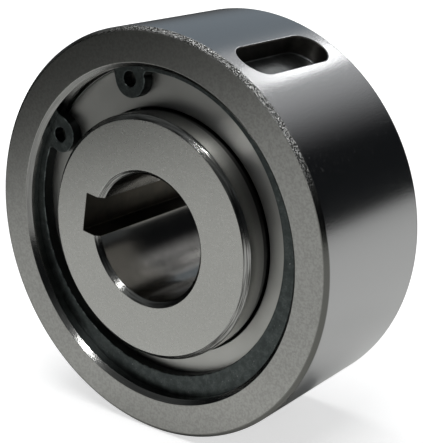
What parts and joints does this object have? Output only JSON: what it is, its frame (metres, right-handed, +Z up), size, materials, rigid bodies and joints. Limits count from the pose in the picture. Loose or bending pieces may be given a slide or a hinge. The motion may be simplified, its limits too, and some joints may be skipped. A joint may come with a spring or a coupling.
{
  "type": "sprag clutch",
  "caption": "One-way sprag clutch: a keyed inner ring in an outer ring with a closed key pocket in its rim, side plates and tapered retaining rings with lugs.",
  "frame": {"origin": "on the clutch's axis, halfway along the bore", "axes": "+Y along the axis from the front face to the rear, +Z up with the clutch standing on its rim as pictured, +X to the right seen from the front"},
  "size_m": [0.08, 0.034, 0.08],
  "materials": {
    "ground_steel": "ground and polished rim, satin faces",
    "turned_steel": "satin ground faces, bright turned chamfer",
    "plate_steel": "satin rolled plate",
    "blackened_spring_steel": "black phosphate with a light oil film",
    "spring_wire": "bright drawn wire",
    "cam_steel": "hardened and polished"
  },
  "bodies": {
    "inner_race": {"inner_ring": "turned_steel"},
    "outer_race": {"outer_ring": "ground_steel", "front_side_plate": "plate_steel", "rear_side_plate": "plate_steel", "front_retaining_ring": "blackened_spring_steel", "rear_retaining_ring": "blackened_spring_steel", "front_garter_spring": "spring_wire", "rear_garter_spring": "spring_wire"},
    "sprag_01_body": {"sprag_01": "cam_steel"},
    "sprag_02_body": {"sprag_02": "cam_steel"},
    "sprag_03_body": {"sprag_03": "cam_steel"},
    "sprag_04_body": {"sprag_04": "cam_steel"},
    "sprag_05_body": {"sprag_05": "cam_steel"},
    "sprag_06_body": {"sprag_06": "cam_steel"},
    "sprag_07_body": {"sprag_07": "cam_steel"},
    "sprag_08_body": {"sprag_08": "cam_steel"},
    "sprag_09_body": {"sprag_09": "cam_steel"},
    "sprag_10_body": {"sprag_10": "cam_steel"},
    "sprag_11_body": {"sprag_11": "cam_steel"},
    "sprag_12_body": {"sprag_12": "cam_steel"},
    "sprag_13_body": {"sprag_13": "cam_steel"},
    "sprag_14_body": {"sprag_14": "cam_steel"},
    "sprag_15_body": {"sprag_15": "cam_steel"},
    "sprag_16_body": {"sprag_16": "cam_steel"},
    "sprag_17_body": {"sprag_17": "cam_steel"},
    "sprag_18_body": {"sprag_18": "cam_steel"},
    "sprag_19_body": {"sprag_19": "cam_steel"},
    "sprag_20_body": {"sprag_20": "cam_steel"},
    "sprag_21_body": {"sprag_21": "cam_steel"},
    "sprag_22_body": {"sprag_22": "cam_steel"},
    "sprag_23_body": {"sprag_23": "cam_steel"},
    "sprag_24_body": {"sprag_24": "cam_steel"}
  },
  "joints": [
    {"name": "overrun", "type": "hinge", "parent": "inner_race", "child": "outer_race", "pos_m": [0, 0, 0], "axis": [0, 1, 0], "range_deg": [0, 450]},
    {"name": "sprag_01_tip", "type": "hinge", "parent": "outer_race", "child": "sprag_01_body", "pos_m": [0.02801, 0, 0.00369], "axis": [0, 1, 0], "range_deg": [0, 5], "stiffness_Nm_per_rad": 0.02, "springref_deg": -5.73},
    {"name": "sprag_02_tip", "type": "hinge", "parent": "outer_race", "child": "sprag_02_body", "pos_m": [0.0261, 0, 0.01081], "axis": [0, 1, 0], "range_deg": [0, 5], "stiffness_Nm_per_rad": 0.02, "springref_deg": -5.73},
    {"name": "sprag_03_tip", "type": "hinge", "parent": "outer_race", "child": "sprag_03_body", "pos_m": [0.02241, 0, 0.0172], "axis": [0, 1, 0], "range_deg": [0, 5], "stiffness_Nm_per_rad": 0.02, "springref_deg": -5.73},
    {"name": "sprag_04_tip", "type": "hinge", "parent": "outer_race", "child": "sprag_04_body", "pos_m": [0.0172, 0, 0.02241], "axis": [0, 1, 0], "range_deg": [0, 5], "stiffness_Nm_per_rad": 0.02, "springref_deg": -5.73},
    {"name": "sprag_05_tip", "type": "hinge", "parent": "outer_race", "child": "sprag_05_body", "pos_m": [0.01081, 0, 0.0261], "axis": [0, 1, 0], "range_deg": [0, 5], "stiffness_Nm_per_rad": 0.02, "springref_deg": -5.73},
    {"name": "sprag_06_tip", "type": "hinge", "parent": "outer_race", "child": "sprag_06_body", "pos_m": [0.00369, 0, 0.02801], "axis": [0, 1, 0], "range_deg": [0, 5], "stiffness_Nm_per_rad": 0.02, "springref_deg": -5.73},
    {"name": "sprag_07_tip", "type": "hinge", "parent": "outer_race", "child": "sprag_07_body", "pos_m": [-0.00369, 0, 0.02801], "axis": [0, 1, 0], "range_deg": [0, 5], "stiffness_Nm_per_rad": 0.02, "springref_deg": -5.73},
    {"name": "sprag_08_tip", "type": "hinge", "parent": "outer_race", "child": "sprag_08_body", "pos_m": [-0.01081, 0, 0.0261], "axis": [0, 1, 0], "range_deg": [0, 5], "stiffness_Nm_per_rad": 0.02, "springref_deg": -5.73},
    {"name": "sprag_09_tip", "type": "hinge", "parent": "outer_race", "child": "sprag_09_body", "pos_m": [-0.0172, 0, 0.02241], "axis": [0, 1, 0], "range_deg": [0, 5], "stiffness_Nm_per_rad": 0.02, "springref_deg": -5.73},
    {"name": "sprag_10_tip", "type": "hinge", "parent": "outer_race", "child": "sprag_10_body", "pos_m": [-0.02241, 0, 0.0172], "axis": [0, 1, 0], "range_deg": [0, 5], "stiffness_Nm_per_rad": 0.02, "springref_deg": -5.73},
    {"name": "sprag_11_tip", "type": "hinge", "parent": "outer_race", "child": "sprag_11_body", "pos_m": [-0.0261, 0, 0.01081], "axis": [0, 1, 0], "range_deg": [0, 5], "stiffness_Nm_per_rad": 0.02, "springref_deg": -5.73},
    {"name": "sprag_12_tip", "type": "hinge", "parent": "outer_race", "child": "sprag_12_body", "pos_m": [-0.02801, 0, 0.00369], "axis": [0, 1, 0], "range_deg": [0, 5], "stiffness_Nm_per_rad": 0.02, "springref_deg": -5.73},
    {"name": "sprag_13_tip", "type": "hinge", "parent": "outer_race", "child": "sprag_13_body", "pos_m": [-0.02801, 0, -0.00369], "axis": [0, 1, 0], "range_deg": [0, 5], "stiffness_Nm_per_rad": 0.02, "springref_deg": -5.73},
    {"name": "sprag_14_tip", "type": "hinge", "parent": "outer_race", "child": "sprag_14_body", "pos_m": [-0.0261, 0, -0.01081], "axis": [0, 1, 0], "range_deg": [0, 5], "stiffness_Nm_per_rad": 0.02, "springref_deg": -5.73},
    {"name": "sprag_15_tip", "type": "hinge", "parent": "outer_race", "child": "sprag_15_body", "pos_m": [-0.02241, 0, -0.0172], "axis": [0, 1, 0], "range_deg": [0, 5], "stiffness_Nm_per_rad": 0.02, "springref_deg": -5.73},
    {"name": "sprag_16_tip", "type": "hinge", "parent": "outer_race", "child": "sprag_16_body", "pos_m": [-0.0172, 0, -0.02241], "axis": [0, 1, 0], "range_deg": [0, 5], "stiffness_Nm_per_rad": 0.02, "springref_deg": -5.73},
    {"name": "sprag_17_tip", "type": "hinge", "parent": "outer_race", "child": "sprag_17_body", "pos_m": [-0.01081, 0, -0.0261], "axis": [0, 1, 0], "range_deg": [0, 5], "stiffness_Nm_per_rad": 0.02, "springref_deg": -5.73},
    {"name": "sprag_18_tip", "type": "hinge", "parent": "outer_race", "child": "sprag_18_body", "pos_m": [-0.00369, 0, -0.02801], "axis": [0, 1, 0], "range_deg": [0, 5], "stiffness_Nm_per_rad": 0.02, "springref_deg": -5.73},
    {"name": "sprag_19_tip", "type": "hinge", "parent": "outer_race", "child": "sprag_19_body", "pos_m": [0.00369, 0, -0.02801], "axis": [0, 1, 0], "range_deg": [0, 5], "stiffness_Nm_per_rad": 0.02, "springref_deg": -5.73},
    {"name": "sprag_20_tip", "type": "hinge", "parent": "outer_race", "child": "sprag_20_body", "pos_m": [0.01081, 0, -0.0261], "axis": [0, 1, 0], "range_deg": [0, 5], "stiffness_Nm_per_rad": 0.02, "springref_deg": -5.73},
    {"name": "sprag_21_tip", "type": "hinge", "parent": "outer_race", "child": "sprag_21_body", "pos_m": [0.0172, 0, -0.02241], "axis": [0, 1, 0], "range_deg": [0, 5], "stiffness_Nm_per_rad": 0.02, "springref_deg": -5.73},
    {"name": "sprag_22_tip", "type": "hinge", "parent": "outer_race", "child": "sprag_22_body", "pos_m": [0.02241, 0, -0.0172], "axis": [0, 1, 0], "range_deg": [0, 5], "stiffness_Nm_per_rad": 0.02, "springref_deg": -5.73},
    {"name": "sprag_23_tip", "type": "hinge", "parent": "outer_race", "child": "sprag_23_body", "pos_m": [0.0261, 0, -0.01081], "axis": [0, 1, 0], "range_deg": [0, 5], "stiffness_Nm_per_rad": 0.02, "springref_deg": -5.73},
    {"name": "sprag_24_tip", "type": "hinge", "parent": "outer_race", "child": "sprag_24_body", "pos_m": [0.02801, 0, -0.00369], "axis": [0, 1, 0], "range_deg": [0, 5], "stiffness_Nm_per_rad": 0.02, "springref_deg": -5.73}
  ],
  "couplings": [
    {"joint": "sprag_02_tip", "follows": "sprag_01_tip", "ratio": 1},
    {"joint": "sprag_03_tip", "follows": "sprag_01_tip", "ratio": 1},
    {"joint": "sprag_04_tip", "follows": "sprag_01_tip", "ratio": 1},
    {"joint": "sprag_05_tip", "follows": "sprag_01_tip", "ratio": 1},
    {"joint": "sprag_06_tip", "follows": "sprag_01_tip", "ratio": 1},
    {"joint": "sprag_07_tip", "follows": "sprag_01_tip", "ratio": 1},
    {"joint": "sprag_08_tip", "follows": "sprag_01_tip", "ratio": 1},
    {"joint": "sprag_09_tip", "follows": "sprag_01_tip", "ratio": 1},
    {"joint": "sprag_10_tip", "follows": "sprag_01_tip", "ratio": 1},
    {"joint": "sprag_11_tip", "follows": "sprag_01_tip", "ratio": 1},
    {"joint": "sprag_12_tip", "follows": "sprag_01_tip", "ratio": 1},
    {"joint": "sprag_13_tip", "follows": "sprag_01_tip", "ratio": 1},
    {"joint": "sprag_14_tip", "follows": "sprag_01_tip", "ratio": 1},
    {"joint": "sprag_15_tip", "follows": "sprag_01_tip", "ratio": 1},
    {"joint": "sprag_16_tip", "follows": "sprag_01_tip", "ratio": 1},
    {"joint": "sprag_17_tip", "follows": "sprag_01_tip", "ratio": 1},
    {"joint": "sprag_18_tip", "follows": "sprag_01_tip", "ratio": 1},
    {"joint": "sprag_19_tip", "follows": "sprag_01_tip", "ratio": 1},
    {"joint": "sprag_20_tip", "follows": "sprag_01_tip", "ratio": 1},
    {"joint": "sprag_21_tip", "follows": "sprag_01_tip", "ratio": 1},
    {"joint": "sprag_22_tip", "follows": "sprag_01_tip", "ratio": 1},
    {"joint": "sprag_23_tip", "follows": "sprag_01_tip", "ratio": 1},
    {"joint": "sprag_24_tip", "follows": "sprag_01_tip", "ratio": 1}
  ]
}
